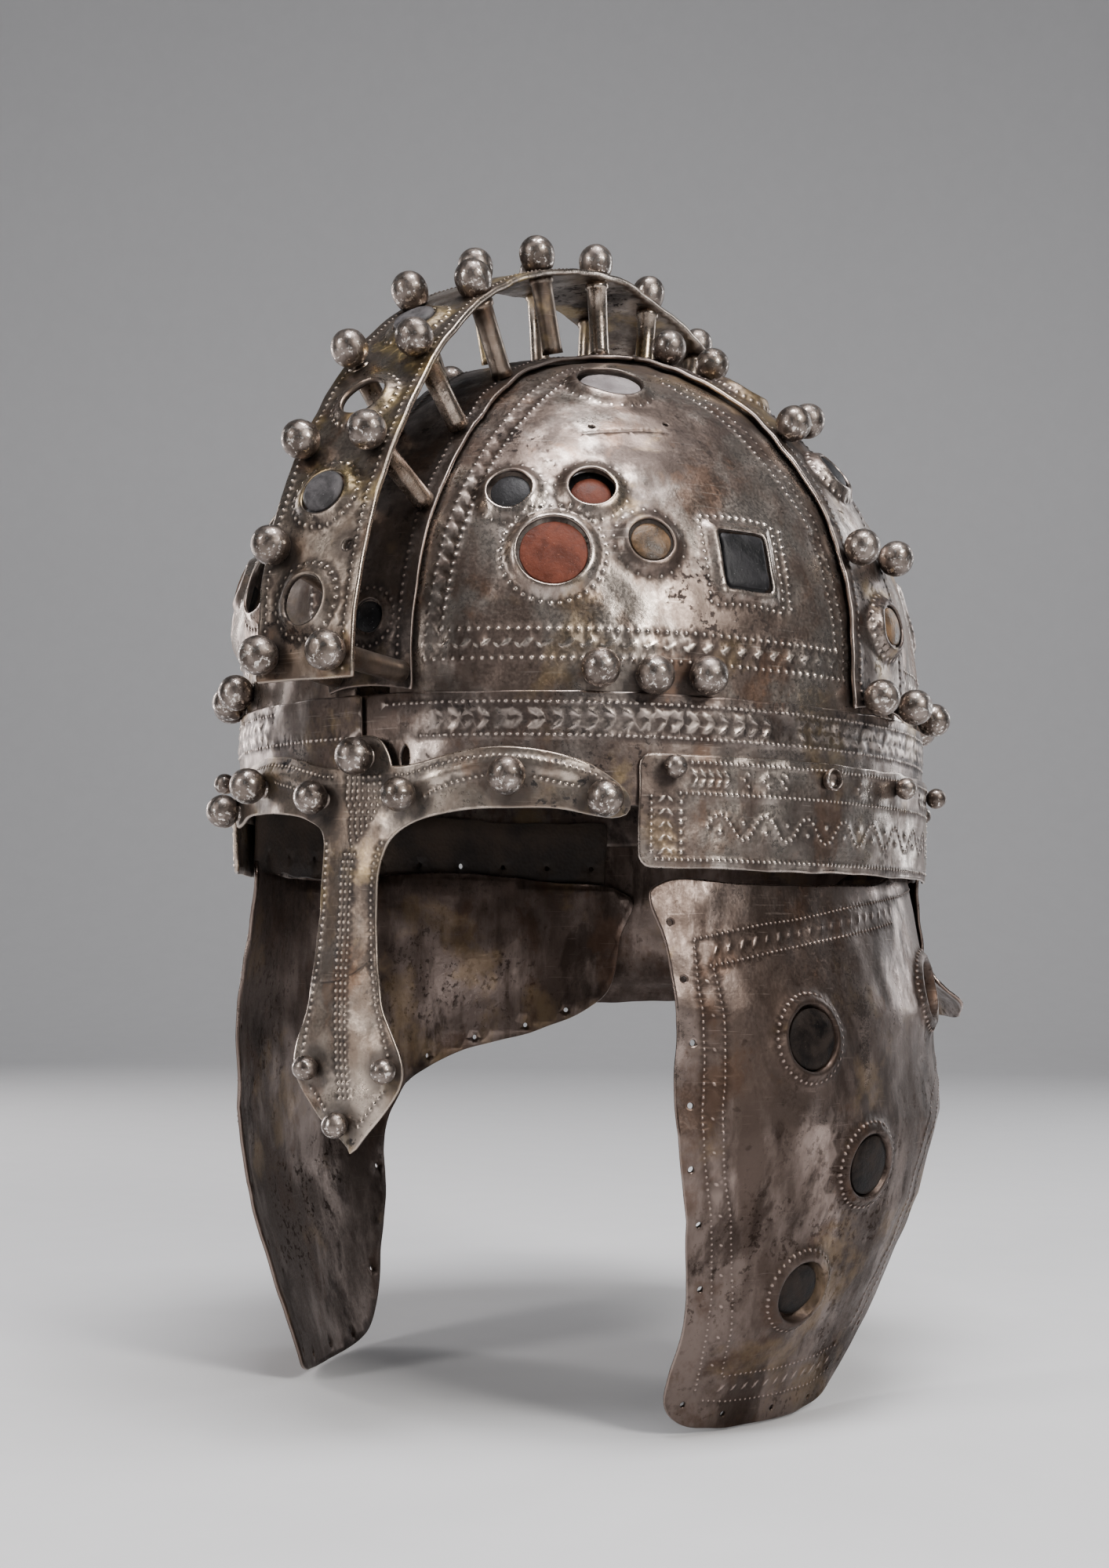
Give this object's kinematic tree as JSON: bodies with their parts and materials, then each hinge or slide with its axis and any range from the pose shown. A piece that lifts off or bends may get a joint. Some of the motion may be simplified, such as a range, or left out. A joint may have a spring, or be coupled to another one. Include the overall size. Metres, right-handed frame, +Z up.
{
  "type": "late roman cavalry helmet",
  "caption": "Ridge helmet of beaten sheet silver with a raised crest strip on rivet posts, inset stones, a nasal, a neck guard and broad hanging cheek guards.",
  "frame": {"origin": "centre of the head opening, on the plane of the rim band's lower edge, where a head carries the helmet", "axes": "+Z up through the crown, -Y where the wearer looks, +X towards the wearer's left"},
  "size_m": [0.2339, 0.3116, 0.3555],
  "materials": {
    "amber_stone": "mottled golden-brown stone, satin",
    "cheek_silver": "mottled brown and gold patina on beaten silver sheet",
    "dark_glass": "dark blue-grey glass paste, worn satin",
    "dark_leather": "old dark leather, matt",
    "pale_stone": "glossy pale grey stone",
    "red_stone": "matt red-brown carnelian-like stone, flat and grainy",
    "rivet_silver": "pitted hollow silver balls with bright specks",
    "tarnished_silver": "beaten silver-gilt sheet, tarnished brown and grey, bright on the high spots"
  },
  "bodies": {
    "root": {"ball_brow_inner_left": "rivet_silver", "ball_brow_inner_right": "rivet_silver", "ball_brow_middle_left": "rivet_silver", "ball_brow_middle_right": "rivet_silver", "ball_brow_nasal_left": "rivet_silver", "ball_brow_nasal_right": "rivet_silver", "ball_brow_nasal_tip": "rivet_silver", "ball_brow_outer_left": "rivet_silver", "ball_brow_outer_right": "rivet_silver", "ball_brow_top": "rivet_silver", "bowl_plate_back_left": "tarnished_silver", "bowl_plate_back_right": "tarnished_silver", "bowl_plate_front_left": "tarnished_silver", "bowl_plate_front_right": "tarnished_silver", "cheek_guard_left": "cheek_silver", "cheek_guard_right": "cheek_silver", "crest_strip": "tarnished_silver", "cross_band_left": "tarnished_silver", "cross_band_right": "tarnished_silver", "hanger_strap_left": "dark_leather", "hanger_strap_right": "dark_leather", "nasal_brow": "tarnished_silver", "neck_guard": "tarnished_silver", "ridge_plate": "tarnished_silver", "rim_band": "tarnished_silver", "side_plate_left": "tarnished_silver", "side_plate_right": "tarnished_silver", "stone_back_left_big": "red_stone", "stone_back_left_outer": "amber_stone", "stone_back_left_square": "dark_glass", "stone_back_right_big": "red_stone", "stone_back_right_inner": "dark_glass", "stone_back_right_square": "dark_glass", "stone_cheek_left_lower": "dark_glass", "stone_cheek_left_middle": "dark_glass", "stone_cheek_left_upper": "dark_glass", "stone_cheek_right_lower": "dark_glass", "stone_cheek_right_middle": "dark_glass", "stone_cheek_right_upper": "dark_glass", "stone_crest_1": "dark_glass", "stone_crest_3": "dark_glass", "stone_crest_4": "dark_glass", "stone_crest_6": "dark_glass", "stone_cross_left_lower": "amber_stone", "stone_cross_left_middle": "dark_glass", "stone_cross_right_lower": "amber_stone", "stone_cross_right_middle": "dark_glass", "stone_front_left_big": "red_stone", "stone_front_left_high": "pale_stone", "stone_front_left_inner": "dark_glass", "stone_front_left_outer": "amber_stone", "stone_front_left_small": "red_stone", "stone_front_left_square": "dark_glass", "stone_front_right_inner": "dark_glass", "stone_front_right_outer": "amber_stone", "stone_front_right_square": "dark_glass", "stone_ridge_front": "dark_glass"}
  },
  "joints": []
}
